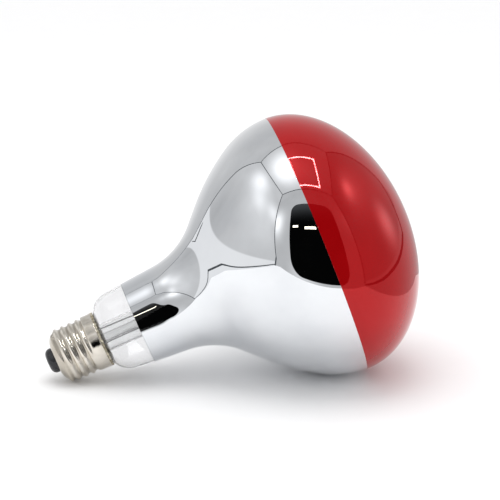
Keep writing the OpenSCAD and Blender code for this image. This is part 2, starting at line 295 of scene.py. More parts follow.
def mirrorGlassMaterial(edgeStation):
    # a metal film behind clear glass: the metal gives the colour, the clear coat the glass
    material, place, setSockets = newMaterial("mirrored glass")
    cloud = place.noise(38.0, 3.0).between(0.35, 0.7)
    thin = place.axis("Z").between(edgeStation * mm, (edgeStation + mirrorLook["edgeWidth"]) * mm)
    ripple = place.scaled((1, 1, 0.5)).noise(26.0, 1.0) * mirrorLook["rippleDepth"]
    waistEnd = edgeStation * mm + mirrorLook["waistLength"]
    drawn = place.axis("Z").math("SMOOTH_MIN", waistEnd, mirrorLook["waistSoft"]) * mirrorLook["waist"]
    setSockets({
        "Base Color": thin.mixed(mirrorLook["edge"], cloud.mixed(mirrorLook["silver"], mirrorLook["shade"])),
        "Metallic": 1.0,
        "Roughness": 0.012 + cloud * 0.02,
        "Coat Weight": 0.6,
        "Coat Roughness": 0.01,
        "Normal": (ripple + drawn).bump(1.0),
    })
    return material


filmLook = {"silver": rgb(0.78, 0.79, 0.8), "shade": rgb(0.68, 0.7, 0.72), "depth": 0.00002}


def filmMaterial():
    # the bare inner side of the mirror film
    material, place, setSockets = newMaterial("mirror film")
    cloud = place.noise(60.0, 4.0)
    setSockets({
        "Base Color": cloud.mixed(filmLook["silver"], filmLook["shade"]),
        "Metallic": 1.0,
        "Roughness": 0.05 + cloud * 0.08,
        "Normal": cloud.bump(filmLook["depth"]),
    })
    return material


redLook = {
    "deep": rgb(0.41, 0.002, 0.004),
    "bright": rgb(0.46, 0.003, 0.005),
    "depth": 0.4,  # how much of the mirrored inside shows through the lacquer
    "peelDepth": 0.000004,
}


def redCoatMaterial():
    # baked red lacquer on the glass, slightly uneven in depth
    material, place, setSockets = newMaterial("red lacquer")
    cloud = place.noise(30.0, 3.0).between(0.3, 0.7)
    peel = place.noise(900.0, 2.0)
    setSockets({
        "Base Color": cloud.mixed(redLook["deep"], redLook["bright"]),
        "Metallic": redLook["depth"],
        "Roughness": 0.015 + cloud * 0.02,
        "IOR": 1.5,
        "Normal": peel.bump(redLook["peelDepth"]),
    })
    return material


nickelLook = {
    "plate": rgb(0.80, 0.755, 0.68),
    "dull": rgb(0.62, 0.575, 0.50),
    "stainAndShadeColour": rgb(0.30, 0.26, 0.20),
    "smooth": 0.05,
    "worn": 0.10,
    "spotDirt": 0.55, "spotRough": 0.15,
    "grooveShade": 0.5, "grooveRoot": 0.0121, "grooveTop": 0.0127,  # painted shade in the thread roots, between two radii, m
    "depth": 0.00003,
}


def nickelMaterial():
    # plated sheet: fine rolling lines round the cap, dull clouds, small stains, and painted shade in the
    # thread roots and over the rounded end
    material, place, setSockets = newMaterial("nickel plate")
    lines = place.scaled((0.12, 0.12, 1)).noise(2600.0, 3.0)
    cloud = place.noise(160.0, 5.0).between(0.35, 0.75)
    spots = place.noise(620.0, 4.0).between(0.66, 0.78)
    plate = cloud.mixed(nickelLook["plate"], nickelLook["dull"])
    radius = place.scaled((1, 1, 0)).away((0, 0, 0))
    # darker where the radius is small: painted shade in the thread roots and over the rounded end, mixed
    # with the real stains
    grooveShadeMask = radius.between(nickelLook["grooveTop"], nickelLook["grooveRoot"])
    stainsAndGrooveShade = (spots * nickelLook["spotDirt"] + grooveShadeMask * nickelLook["grooveShade"]).math("MINIMUM", 1.0)
    setSockets({
        "Base Color": stainsAndGrooveShade.mixed(plate, nickelLook["stainAndShadeColour"]),
        "Metallic": 1.0,
        "Roughness": nickelLook["smooth"] + cloud * nickelLook["worn"] + spots * nickelLook["spotRough"],
        "Normal": (lines * 0.6 + spots * 0.4).bump(nickelLook["depth"]),
    })
    return material


def metalMaterial(name, bright, dark, smooth, scale, grainDepth=0.00001):
    # drawn or cast metal with cloudy oxide
    material, place, setSockets = newMaterial(name)
    cloud = place.noise(scale, 5.0).between(0.3, 0.75)
    grain = place.noise(scale * 9, 3.0)
    setSockets({
        "Base Color": cloud.mixed(bright, dark),
        "Metallic": 1.0,
        "Roughness": smooth + cloud * 0.2,
        "Normal": grain.bump(grainDepth),
    })
    return material


blackGlassLook = {"dark": rgb(0.008, 0.009, 0.012), "dusty": rgb(0.03, 0.03, 0.033), "depth": 0.00005}


def blackGlassMaterial():
    material, place, setSockets = newMaterial("black glass")
    cloud = place.noise(300.0, 4.0).between(0.4, 0.8)
    setSockets({
        "Base Color": cloud.mixed(blackGlassLook["dark"], blackGlassLook["dusty"]),
        "Roughness": 0.16 + cloud * 0.3,
        "IOR": 1.5,
        "Normal": place.noise(700.0, 4.0).bump(blackGlassLook["depth"]),
    })
    return material


cementLook = {
    "tan": rgb(0.45, 0.385, 0.26), "pale": rgb(0.85, 0.79, 0.63), "pit": rgb(0.09, 0.075, 0.05),
    "pitShadeStrength": 0.7, "depth": 0.0004,
}


def cementMaterial():
    # coarse baked cement, with painted shade in its pits
    material, place, setSockets = newMaterial("basing cement")
    lumps = place.noise(420.0, 6.0, 0.65)
    pits = place.noise(900.0, 4.0).between(0.62, 0.42)
    baked = lumps.between(0.35, 0.65).mixed(cementLook["tan"], cementLook["pale"])
    setSockets({
        # the pits are painted dark: painted shade in the pores
        "Base Color": (pits * cementLook["pitShadeStrength"]).mixed(baked, cementLook["pit"]),
        "Roughness": 0.85 + lumps * 0.1,
        "Normal": (lumps + pits * -0.5).bump(cementLook["depth"]),
    })
    return material


bulb = {
    "diameter": 125.2, "length": 180.2, "domeDepth": 43.8,
    "neckDiameter": 38.0, "neckSlope": 4.6, "neckRound": 11.0, "neckStart": 37.0,
    "tubeRadius": 10.8, "footTurn": 65.0, "footRound": 1.6,
    "hollow": 36.0, "flankSlope": 46.0, "flankRadius": 105.0, "turnSlope": 30.0, "shoulderRadius": 42.7,
    "glass": 1.0, "coat": 0.13, "coatRoom": 0.15, "mirrorStart": 45.7, "turns": 240,
    "seal": 19.0, "sealAlong": 0.12, "sealAcross": 0.08,  # where the neck ends, and how far it waves
    "lean": -2.2, "leanOffset": -0.3,  # of the coat's edge
    "underCoat": 4,  # rings of mirrored glass that run on under the coat
}


def bulbOutline():
    # from the widest circle back to the neck, as a glass blower's mould is drawn
    b = bulb
    equator = b["length"] - b["coatRoom"] - b["domeDepth"]
    big = b["diameter"] / 2
    neckRadius = b["neckDiameter"] / 2
    slope, flankSlope = radians(b["neckSlope"]), radians(b["flankSlope"])
    shoulder = arcPoints((equator, big - b["shoulderRadius"]), b["shoulderRadius"], b["turnSlope"], 0, 28)
    turn = radians(b["turnSlope"])
    flankCentre = (
        shoulder[0][0] + b["flankRadius"] * math.sin(turn),
        shoulder[0][1] - b["flankRadius"] * math.cos(turn),
    )
    flank = arcPoints(flankCentre, b["flankRadius"], b["flankSlope"], b["turnSlope"], 14)
    hollowAlong = b["hollow"] * (math.sin(flankSlope) - math.sin(slope))
    hollowOut = b["hollow"] * (math.cos(slope) - math.cos(flankSlope))
    cone = flank[0][1] - hollowOut - neckRadius
    cone -= math.tan(slope) * (flank[0][0] - hollowAlong - b["neckStart"])
    straight = cone / (math.sin(flankSlope) - math.tan(slope) * math.cos(flankSlope))
    hollowCentre = (
        flank[0][0] - straight * math.cos(flankSlope) - b["hollow"] * math.sin(flankSlope),
        flank[0][1] - straight * math.sin(flankSlope) + b["hollow"] * math.cos(flankSlope),
    )
    hollow = arcPoints(hollowCentre, -b["hollow"], b["neckSlope"], b["flankSlope"], 26)
    neckCentre = (
        b["neckStart"] + b["neckRound"] * math.sin(slope),
        neckRadius - b["neckRound"] * math.cos(slope),
    )
    neck = arcPoints(neckCentre, b["neckRound"], b["footTurn"], b["neckSlope"], 18)
    # the hollow foot between the sealed tube and the neck's rounding
    turn, foot = radians(b["footTurn"]), b["footRound"]
    rise = neck[0][1] - b["tubeRadius"] - foot * (1 - math.cos(turn))
    footCentre = (neck[0][0] - rise / math.tan(turn) - foot * math.sin(turn), b["tubeRadius"] + foot)
    neck = arcPoints(footCentre, -foot, 0, b["footTurn"], 8) + neck
    edgeRadius = neckRadius + math.tan(slope) * (b["mirrorStart"] - b["neckStart"])
    edge = [(b["mirrorStart"], edgeRadius, -math.sin(slope), math.cos(slope))]
    dome = []
    for i in range(49):
        a = math.pi / 2 * i / 48
        n = math.hypot(big * math.sin(a), b["domeDepth"] * math.cos(a))
        along, out = big * math.sin(a) / n, b["domeDepth"] * math.cos(a) / n
        dome.append((equator + b["domeDepth"] * math.sin(a), big * math.cos(a), along, out))
    return neck, edge + hollow + flank + shoulder[1:], dome, equator


neckLine, mirrorLine, domeLine, equator = bulbOutline()
tubeRadius = bulb["tubeRadius"]


def sealWave(s, r, a):
    # the sealed end of the neck is melted, so its edge waves a little inside the cap
    weight = 1 - ease(s, bulb["seal"], bulb["seal"] + 4)
    return bulb["sealAlong"] * weight * math.sin(3 * a + 0.6), bulb["sealAcross"] * weight * math.sin(5 * a)


def coatShift(s, r, a):
    # the coat was dipped a little askew, so its edge leans; it slides along the glass, fading to the tip
    big, depth = bulb["diameter"] / 2, bulb["domeDepth"]
    u = min(1.0, max(0.0, (s - equator) / depth))
    lean = (bulb["lean"] * math.cos(a) + bulb["leanOffset"]) * (1 - u * u)
    past = s + lean - equator
    if past > 0:
        surface = big * math.sqrt(1 - min(1.0, past / depth) ** 2)
    else:
        surface = big - past ** 2 / (2 * bulb["shoulderRadius"])
    return lean, surface - big * math.sqrt(1 - u * u)


def makeBulb():
    glass = bulb["glass"]
    outer = neckLine + mirrorLine + domeLine[1:]
    outside = [(bulb["seal"] + 0.3, tubeRadius)] + offset(outer, 0)
    inside = offset(outer, -glass)[::-1] + [(bulb["seal"] + 0.3, tubeRadius - glass)]
    firstMirror = 1 + len(neckLine)
    lastMirror = firstMirror + len(mirrorLine) - 2 + bulb["underCoat"]

    def zone(i):
        return 1 if firstMirror <= i <= lastMirror else 0

    piece = turned("bulb_glass", outside + inside, bulb["turns"], True, sealWave, zone)
    piece.data.materials.append(clearGlass)
    piece.data.materials.append(mirrorGlass)
    return piece


def makeRedCoat():
    coat = bulb["coat"]
    first = domeLine[0]
    edge = [(first[0], first[1] + 0.06), (first[0] + 0.05, first[1] + coat)]  # its own rounded edge
    outline = edge + offset(domeLine, coat)[1:] + offset(domeLine, 0.01)[::-1]
    piece = turned("red_front_coat", outline, bulb["turns"], True, coatShift)
    piece.data.materials.append(redCoatMaterial())
    return piece


clearGlass = clearGlassMaterial(
    "clear glass", rgb(0.93, 0.93, 0.935),
    {"rippleScale": 90.0, "rippleDepth": 0.00001, "shade": rgb(0.89, 0.89, 0.895), "bend": 1.03})
stemGlass = clearGlassMaterial(
    "stem glass", rgb(0.95, 0.955, 0.955),
    {"rippleScale": 200.0, "rippleDepth": 0.00001, "shade": rgb(0.92, 0.925, 0.925), "bend": 1.35})
mirrorGlass = mirrorGlassMaterial(bulb["mirrorStart"])

bulbGlass = makeBulb()
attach(bulbGlass, "root")
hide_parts("glass_bulb")

redFront = makeRedCoat()
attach(redFront, "root")
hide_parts("red_coating")
print("bulb and red front made")


stem = {
    "diameter": 13.6, "roll": -46.0, "press": 50.0, "pressLength": 16.0, "pressThick": 5.0, "taper": 7.0,
    "pressWaist": 0.15, "pressEnd": 1.2,  # how far the jaws' marks draw its sides and its end in
    "leadGap": 6.8, "outerLead": 0.7, "innerLead": 1.2,
}


def makeStemTube():
    # a tube whose trumpet mouth is melted to the neck's end
    glass = bulb["glass"]
    radius = stem["diameter"] / 2
    flare = tubeRadius - glass - radius
    centre = (bulb["seal"] + 0.3 + glass + flare, radius + flare)
    vacuumSide, airSide = [], []
    for i in range(17):
        a = math.pi / 2 * i / 16
        for side, bend in ((vacuumSide, flare), (airSide, flare + glass)):
            side.append((centre[0] - bend * math.sin(a), centre[1] - bend * math.cos(a)))
    outline = [(stem["press"], radius)] + vacuumSide + airSide[::-1] + [(stem["press"], radius - glass)]
    return turned("stem_tube", outline[::-1], 96, True, sealWave)


def makePress():
    # the tube's end, pinched flat round the wires, with the jaws' soft waist
    half = stem["diameter"] / 2
    sides, rings = 48, 26
    points, faces = [], []
    for i in range(rings + 1):
        s = stem["press"] + stem["pressLength"] * i / rings
        flat = ease(s, stem["press"], stem["press"] + stem["taper"])
        thick = half + (stem["pressThick"] / 2 - half) * flat
        last = stem["press"] + stem["pressLength"]
        end = ease(s, last - stem["pressEnd"], last)
        thick *= 1 - 0.25 * end
        wide = half * (1 - 0.06 * end) - stem["pressWaist"] * math.sin(math.pi * flat)
        for k in range(sides):
            a = 2 * math.pi * (k + 0.5) / sides
            side = math.copysign(wide - thick, math.cos(a))
            points.append((side + thick * math.cos(a), thick * math.sin(a), s))
    for i in range(rings):
        for k in range(sides):
            n = (k + 1) % sides
            faces.append([i * sides + k, i * sides + n, (i + 1) * sides + n, (i + 1) * sides + k])
    faces.append(list(range(sides))[::-1])
    faces.append([rings * sides + k for k in range(sides)])
    return addPiece("stem_pinch", onStem(points, stem["roll"]), faces)


def leadRoutes():
    gap = stem["leadGap"] / 2
    press = stem["press"]
    seal = bulb["seal"]
    beside = tubeRadius + stem["outerLead"] / 2 + 0.1
    inRim = cap["collar"] / 2 - cap["sheet"] - stem["outerLead"] / 2 - 0.05
    side = [
        (-gap, 0, press), (-4.3, -1, press - 6), (-4.8, -0.8, 30), (-5.6, -0.6, 22.6),
        (-8.5, 0, seal - 0.8), (-beside, 0, seal - 0.6), (-beside, 0, 24.5), (-inRim, 0, 26.4),
        (-inRim, 0, cap["rim"] + 0.4),
    ]
    centre = [
        (gap, 0, press), (2.9, -0.8, press - 6), (3, -0.6, 30), (3, 0, 14),
        (0, 0, cap["insulatorTop"] + 0.6), (0, 0, cap["contact"] * 2),
    ]
    return side, centre


cap = {
    "thread": 26.2, "root": 24.2, "collar": 26.4, "sheet": 0.35, "rim": 27.1,
    "pitch": 25.4 / 7, "firstCrest": 7.2, "collarStart": 22.4, "runOut": 1.2,
    "lip": 4.0, "lipRadius": 5.2, "endRadius": 6.8, "endCentre": (10.8, 6.0), "bead": 0.25,
    "insulatorRound": 2.8, "insulatorTop": 8.0, "contact": 0.3, "contactRadius": 3.0,
    "bore": 0.6,  # the wire's hole in the insulator
    "turns": 180,
}


def crestHeight(s, a):
    # a right-hand screw that fades in past the rounded end and out into the collar
    wave = 0.5 + 0.5 * math.cos(2 * math.pi * (s - cap["firstCrest"]) / cap["pitch"] - a)
    fadeOut = 1 - ease(s, cap["collarStart"] - cap["runOut"], cap["collarStart"])
    return (cap["thread"] - cap["root"]) / 2 * wave * ease(s, 5, 8) * fadeOut


def makeCapShell():
    c = cap
    rootRadius, collarRadius = c["root"] / 2, c["collar"] / 2
    endStation, endOut = c["endCentre"]
    endTurn = math.asin((rootRadius - endOut) / c["endRadius"])
    line = [(c["lip"], c["lipRadius"], -1.0, 0.0)]
    for i in range(13):
        a = endTurn * i / 12
        along, out = -math.cos(a), math.sin(a)
        line.append((endStation + c["endRadius"] * along, endOut + c["endRadius"] * out, along, out))
    start = line[-1][0]
    stations = 96
    for i in range(1, stations + 1):
        s = start + (c["collarStart"] + 0.3 - start) * i / stations
        wider = ease(s, c["collarStart"] - c["runOut"], c["collarStart"])
        line.append((s, rootRadius + (collarRadius - rootRadius) * wider, 0.0, 1.0))
    line.append((c["rim"] - 2 * c["bead"], collarRadius, 0.0, 1.0))
    bead = []
    for i in range(1, 13):  # the rim is rolled over into a small bead
        a = radians(-90 + 180 * i / 12)
        bead.append((c["rim"] - c["bead"] + c["bead"] * math.sin(a), collarRadius + c["bead"] * math.cos(a)))
    inner = [(s - c["sheet"] * ns, r - c["sheet"] * nr) for s, r, ns, nr in line]
    inner[-1] = (c["rim"], collarRadius - c["sheet"])
    outline = offset(line, 0) + bead + inner[::-1]
    return turned("screw_shell", outline, c["turns"], True, lambda s, r, a: (0, crestHeight(s, a)), sharp=50)


def makeInsulator():
    c = cap
    curve = []
    for i in range(17):
        a = math.pi / 2 * i / 16
        back, out = c["insulatorRound"] * (1 - math.cos(a)), c["insulatorRound"] * math.sin(a)
        curve.append((c["contact"] + back, c["contactRadius"] + 0.1 + out))
    outline = [(c["contact"] * 2, c["bore"]), (c["contact"] * 2, c["contactRadius"] + 0.05)]
    outline += [(c["contact"] + 0.1, c["contactRadius"] + 0.06)] + curve
    widest = c["contactRadius"] + c["insulatorRound"] + 0.1
    outline += [(c["lip"] - 0.02, widest), (c["lip"] - 0.02, c["lipRadius"] - 0.1)]
    outline += [(c["lip"] + c["sheet"] + 0.05, c["lipRadius"] - 0.1)]
    for i in range(9):
        a = radians(45 * i / 8)
        inner = c["endRadius"] - c["sheet"] - 0.25 * ease(i, 0, 1)
        outline.append((c["endCentre"][0] - inner * math.cos(a), c["endCentre"][1] + inner * math.sin(a)))
    top = c["insulatorTop"]
    outline += [(top - 1, outline[-1][1]), (top, 7.0), (top, c["bore"])]
    return turned("end_insulator", outline, 96)


def makeContact():
    # a brass disc with a softly turned edge and a dished middle round the wire's hole
    c = cap
    top = c["contact"]
    outline = [
        (top + 0.06, 0.45), (top + 0.03, 1.2), (top, 1.9), (top, c["contactRadius"] - 0.12),
        (top + 0.05, c["contactRadius"] - 0.03), (top + 0.12, c["contactRadius"]),
        (top * 2 - 0.02, c["contactRadius"]), (top * 2 - 0.02, 0.45),
    ]
    return turned("contact_disc", outline, 96)


contactDrop = {"height": 0.36, "radius": 1.45, "lumpAlong": 0.05, "lumpOut": 0.16}


def makeContactSolder():
    # a low uneven drop
    d = contactDrop

    def lumpy(s, r, a):
        wave = 0.5 + 0.5 * noise.noise(Vector((math.cos(a), math.sin(a), r)))
        return d["lumpAlong"] * wave, d["lumpOut"] * (wave - 0.5) * r

    drop = [(0.0, 0.0)]
    for i in range(1, 9):
        a = math.pi / 2 * i / 8
        drop.append((d["height"] * (1 - math.cos(a)), d["radius"] * math.sin(a)))
    return turned("contact_solder_drop", drop + [(d["height"] + 0.02, 0.0)], 48, False, lumpy)


sideDrop = {
    "radius": 1.02, "lump": 0.12, "inset": 0.1, "wide": 1.25, "tall": 0.85,
    "top": 84.0,  # degrees up to the small face that closes it
    "flat": 0.3,  # how far it may stand out of the bead's edge, mm
}


def makeSideSolder():
    # the lump that joins the side lead to the rim, squashed against the bead
    d = sideDrop
    sides, rings = 28, 10
    centre = Vector((-cap["collar"] / 2 + d["inset"], 0, cap["rim"]))
    points, faces = [], []
    for i in range(rings + 1):
        up = radians(d["top"]) * i / rings
        for k in range(sides):
            a = 2 * math.pi * k / sides
            level = math.cos(up)
            out = Vector((level * math.cos(a), level * math.sin(a) * d["wide"], math.sin(up) * d["tall"]))
            p = centre + out * (d["radius"] + d["lump"] * noise.noise(out * 1.7))
            p.x = max(p.x, -cap["collar"] / 2 - d["flat"])
            points.append(p)
    for i in range(rings):
        for k in range(sides):
            n = (k + 1) % sides
            faces.append([i * sides + k, i * sides + n, (i + 1) * sides + n, (i + 1) * sides + k])
    faces.append(list(range(sides))[::-1])
    faces.append([rings * sides + k for k in range(sides)])
    return addPiece("side_solder_drop", onStem(points, stem["roll"]), faces)


cement = {
    "out": 0.3, "proud": 1.0, "turns": 220,
    "lump": 0.3, "grain": 0.12, "pitDepth": 0.4,  # how far its face rises and falls, mm
}


def makeCement():
    # hand-filled and baked: its lumpy face closes the cap's mouth round the neck's foot
    c = cap
    inner = c["collar"] / 2 - c["sheet"]
    foot = [p for p in neckLine if p[1] < inner - 0.1]
    top = [
        (c["rim"] + 0.03, inner - 0.02), (c["rim"] + 0.1, inner + cement["out"]),
        (c["rim"] + 0.6, inner + cement["out"] + 0.1), (c["rim"] + cement["proud"], inner + cement["out"]),
    ]
    fine = []
    for (s0, r0), (s1, r1) in zip(top, top[1:]):
        for i in range(6):
            fine.append((s0 + (s1 - s0) * i / 6, r0 + (r1 - r0) * i / 6))
    under = [(s - 0.02 * ns, r + 0.02 * nr) for s, r, ns, nr in foot[::-1]]
    outline = [(c["collarStart"] + 0.3, inner - 0.03)] + fine + under
    outline += [(c["collarStart"] + 0.3, tubeRadius + 0.02)]

    def lumpy(s, r, a):
        shown = ease(s, c["rim"] - 0.05, c["rim"] + 0.3)
        p = Vector((r * math.cos(a), r * math.sin(a), s))
        swell = noise.noise(p * 0.75) * cement["lump"]
        grain = noise.noise(p * 2.6) * cement["grain"]
        pit = -cement["pitDepth"] * ease(noise.noise(p * 1.3 + Vector((7, 3, 1))), 0.18, 0.45)
        move = (swell + grain + pit) * shown
        return move * 0.8, 0
    return turned("cement_ring", outline, cement["turns"], True, lumpy, sharp=60)


def dress(piece, material, node):
    # finish, body, the CAD node it stands for and its material slot
    piece.data.materials.clear()
    piece.data.materials.append(material)
    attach(piece, "root")
    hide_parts(node)
    return piece


nickel = nickelMaterial()
leadMetal = metalMaterial("lead wire", rgb(0.20, 0.20, 0.20), rgb(0.10, 0.10, 0.11), 0.2, 240.0)
nickelWire = metalMaterial("nickel wire", rgb(0.66, 0.65, 0.62), rgb(0.45, 0.44, 0.41), 0.25, 200.0)
tungsten = metalMaterial("tungsten wire", rgb(0.30, 0.30, 0.32), rgb(0.16, 0.16, 0.17), 0.4, 500.0)
molybdenum = metalMaterial("support wire", rgb(0.52, 0.52, 0.53), rgb(0.33, 0.33, 0.34), 0.3, 300.0)
brass = metalMaterial("contact brass", rgb(0.78, 0.6, 0.28), rgb(0.55, 0.41, 0.19), 0.22, 420.0)
solderMetal = metalMaterial("solder", rgb(0.68, 0.68, 0.69), rgb(0.42, 0.42, 0.44), 0.24, 380.0, 0.00003)

dress(makeCapShell(), nickel, "cap_shell")
dress(makeInsulator(), blackGlassMaterial(), "cap_insulator")
dress(makeContact(), brass, "centre_contact")
dress(makeContactSolder(), solderMetal, "contact_solder")
dress(makeSideSolder(), solderMetal, "side_solder")
dress(makeCement(), cementMaterial(), "cap_cement")
print("screw cap made")

dress(makeStemTube(), stemGlass, "stem_flare")
dress(makePress(), stemGlass, "stem_press")
sideRoute, centreRoute = leadRoutes()
for name, route, node in (
    ("side_lead", sideRoute, "outer_lead_side"),
    ("centre_lead", centreRoute, "outer_lead_centre"),
):
    wire = swept(name, onStem(bent(route, 2.0), stem["roll"]), stem["outerLead"])
    dress(wire, leadMetal, node)


filament = {
    "ring": 28.0, "coil": 1.8, "wire": 0.32, "arc": 310.0, "station": 110.0, "turns": 130, "perTurn": 12,
    "clampArc": 12.0, "clampWall": 0.4,
    "support": 0.5, "supports": 5, "supportFoot": 1.0, "eyeStart": 200.0, "eyeTurn": 290.0,
    "button": 6.4, "buttonStation": 98.0,
}


def coilEnd(side):
    return 90 + side * (360 - filament["arc"]) / 2


def ringPoint(angle, out=0.0, along=0.0):
    radius = filament["ring"] / 2 + out
    return radius * math.cos(radians(angle)), radius * math.sin(radians(angle)), filament["station"] + along


def makeFilament():
    f = filament
    steps = f["turns"] * f["perTurn"]
    radius = (f["coil"] - f["wire"]) / 2
    route = []
    for i in range(steps + 1):
        angle = coilEnd(1) + f["arc"] * i / steps
        winding = 2 * math.pi * i / f["perTurn"]
        route.append(ringPoint(angle, radius * math.cos(winding), radius * math.sin(winding)))
    return swept("coiled_filament", onStem(route, stem["roll"]), f["wire"], 6)


def makeClamp(name, side):
    # a round sleeve round the coil's end, narrowed towards both ends and a little at its middle
    f = filament
    start = coilEnd(1) if side > 0 else coilEnd(-1) - f["clampArc"]
    route, widths = [], []
    for i in range(15):
        t = i / 14
        route.append(ringPoint(start + f["clampArc"] * t))
        rounded = 1 - 0.35 * (1 - min(1, min(t, 1 - t) / 0.12)) ** 2
        widths.append((f["coil"] + f["clampWall"] * 2) * rounded * (1 - 0.08 * math.sin(math.pi * t)))
    return swept(name, onStem(route, stem["roll"]), widths, 20)


def makeInnerLead(name, side):
    angle = coilEnd(-side)
    foot = Vector((side * stem["leadGap"] / 2, 0, stem["press"] + stem["pressLength"]))
    head = Vector(ringPoint(angle, 0, -filament["coil"] / 2 - 0.4))
    route = bent([foot, foot + Vector((0, 0, 8)), head - Vector((0, 0, 3)), head], 3.0, 8)
    return swept(name, onStem(route, stem["roll"]), stem["innerLead"])


def makeSupport(name, number):
    # a fine wire out from the button, its end curled into an eye round the coil
    f = filament
    eye = f["coil"] / 2 + f["support"] / 2 + 0.05
    route = [(f["supportFoot"], 0, f["buttonStation"]), (f["button"] / 2 + 2, 0, f["buttonStation"])]
    for k in range(31):
        a = radians(f["eyeStart"] + f["eyeTurn"] * k / 30)
        route.append((f["ring"] / 2 + eye * math.cos(a), 0, f["station"] + eye * math.sin(a)))
    turn = stem["roll"] + coilEnd(1) + f["arc"] * number / (f["supports"] + 1)
    return swept(name, onStem(bent(route, 1.5), turn), f["support"], 12)


dress(makeFilament(), tungsten, "filament")
for word, side in (("side", -1), ("centre", 1)):
    lead = makeInnerLead("inner_lead_" + word + "_rod", side)
    dress(lead, nickelWire, "inner_lead_" + word)
    dress(makeClamp("coil_clamp_" + word, side), nickelWire, "filament_clamp_" + word)
for number in range(1, filament["supports"] + 1):
    wire = makeSupport("support_hook_" + str(number), number)
    dress(wire, molybdenum, "filament_support_" + str(number))
print("stem and filament made")


def refinish(node, material):
    slots = frame["nodes"][node].data.materials
    if not slots:
        slots.append(material)
    for i in range(len(slots)):
        slots[i] = material


for node, material in (
    ("mirror_coating", filmMaterial()),
    ("exhaust_tube", stemGlass), ("arbor_rod", stemGlass), ("arbor_button", stemGlass),
    ("seal_wire_side", leadMetal), ("seal_wire_centre", leadMetal),
):
    refinish(node, material)


def stagePiece(name, points, faces, material):
    mesh = bpy.data.meshes.new(name)
    mesh.from_pydata([Vector(p) * mm for p in points], [], faces)
    mesh.materials.append(material)
    piece = bpy.data.objects.new(name, mesh)
    bpy.context.collection.objects.link(piece)
    return piece


def onlyInGloss(piece):
    # the tent is seen in reflections, and neither hides the lamp nor blocks the light
    piece.visible_camera = False
    piece.visible_diffuse = False
    piece.visible_transmission = False
    piece.visible_shadow = False
    return piece


floorLook = {"pale": rgb(0.90, 0.90, 0.905), "bright": rgb(0.92, 0.92, 0.925), "reach": 4000.0}


def floorMaterial():
    material, place, setSockets = newMaterial("pale floor", laid=False)
    grain = place.noise(60.0, 4.0)
    setSockets({
        "Base Color": grain.mixed(floorLook["pale"], floorLook["bright"]),
        "Roughness": 0.75,
        "Specular IOR Level": 0.2,
    })
    return material


reach = floorLook["reach"]
floorCorners = [(-reach, -reach, 0), (reach, -reach, 0), (reach, reach, 0), (-reach, reach, 0)]
stagePiece("floor", floorCorners, [[0, 1, 2, 3]], floorMaterial())

tent = {
    "left": -226.0, "right": 203.0, "front": -190.0, "top": 396.0,
    "topBack": 112.0, "footLeft": 262.0, "footRight": 140.0,  # the back paper leans, more so on the left
    "seam": 4.6, "seamGlow": 0.10,
    "curlStart": -40.0, "curlEnd": 205.0, "curlSoft": 40.0, "curlRise": 0.17, "curlFoot": 4.0,
    "door": {
        "left": -103.0, "right": 112.0, "bottom": 9.0, "top": 258.0, "topRound": 36.0, "lowRound": 46.0,
        "dark": 0.0015, "lit": 0.07, "litFrom": 150.0, "litTo": 262.0,
    },
    "farLamps": ((-84, -60, 154, 161), (-32, 10, 148, 156)),  # seen through the door
    "ring": {
        "left": -46.0, "right": 104.0, "front": -162.0, "back": 6.0, "dots": 22, "size": 7.0, "glow": 34.0,
    },
}


def glowMaterial(name, base, patches, paper=None):
    # cloth that glows with painted light from the lamp ring: a painted base glow, soft painted highlight
    # patches, and the paper's curled edge below painted brighter
    material, place, setSockets = newMaterial(name, "ShaderNodeEmission", False)
    folds = place.noise(14.0, 3.0) - 0.5
    glow = base + folds * 0.12
    # painted highlights on the cloth, and a painted shade patch where the strength is below zero
    for point, radius, strength in patches:
        near = place.away(Vector(point) * mm) / (radius * mm)
        glow = glow + (near * near * -1).math("EXPONENT") * strength
    if paper:
        edge = (place.axis("Y") - paper["start"] * mm) * paper["rise"] + paper["height"] * mm
        low = (place.axis("Z") - edge).between(paper["soft"] * mm, -paper["soft"] * mm)
        glow = low * paper["glow"] + (1 - low) * glow
    setSockets({"Color": glow.tinting(rgb(0.985, 0.99, 1.0))})
    return material


def makeTent():
    t = tent
    left, right, front, top = t["left"], t["right"], t["front"], t["top"]
    topBack, footLeft, footRight = t["topBack"], t["footLeft"], t["footRight"]
    paper = {"start": -190.0, "height": 16.0, "rise": 0.265, "soft": 3.0, "glow": 0.93}
    walls = {
        "tent_left": (
            [(left, front, 0), (left, footLeft, 0), (left, topBack, top), (left, front, top)],
            glowMaterial("left cloth", 0.67, [
                ((left, -8, 300), 62, 0.62), ((left, -62, 215), 52, 0.36), ((left, -165, 222), 45, 0.42),
                ((left, -120, 130), 50, 0.12), ((left, 120, 120), 90, -0.12),
            ], paper)),
        "tent_right": (
            [(right, footRight, 0), (right, front, 0), (right, front, top), (right, topBack, top)],
            glowMaterial("right cloth", 0.42, [
                ((right, -49, 255), 32, 1.5), ((right, -40, 245), 75, 0.6), ((right, 6, 112), 30, 1.3),
            ], dict(paper, glow=0.6))),
        "tent_front": (
            [(right, front, 0), (left, front, 0), (left, front, top), (right, front, top)],
            glowMaterial("front cloth", 0.56, [
                ((left + 22, front, 182), 52, 0.9), ((-60, front, 0), 60, 0.25),
                ((right, front, 220), 60, 0.3),
            ])),
        "tent_back": (
            [(left, footLeft, 0), (right, footRight, 0), (right, topBack, top), (left, topBack, top)],
            glowMaterial("back paper", 0.60, [((0, 200, 60), 120, 0.25)])),
        "tent_top": (
            [(left, front, top), (left, topBack, top), (right, topBack, top), (right, front, top)],
            glowMaterial("top cloth", 0.62, [((-100, -40, top), 95, 1.0), ((40, -75, top), 90, 0.3)])),
    }
    for name, (corners, material) in walls.items():
        onlyInGloss(stagePiece(name, corners, [[0, 1, 2, 3]], material))


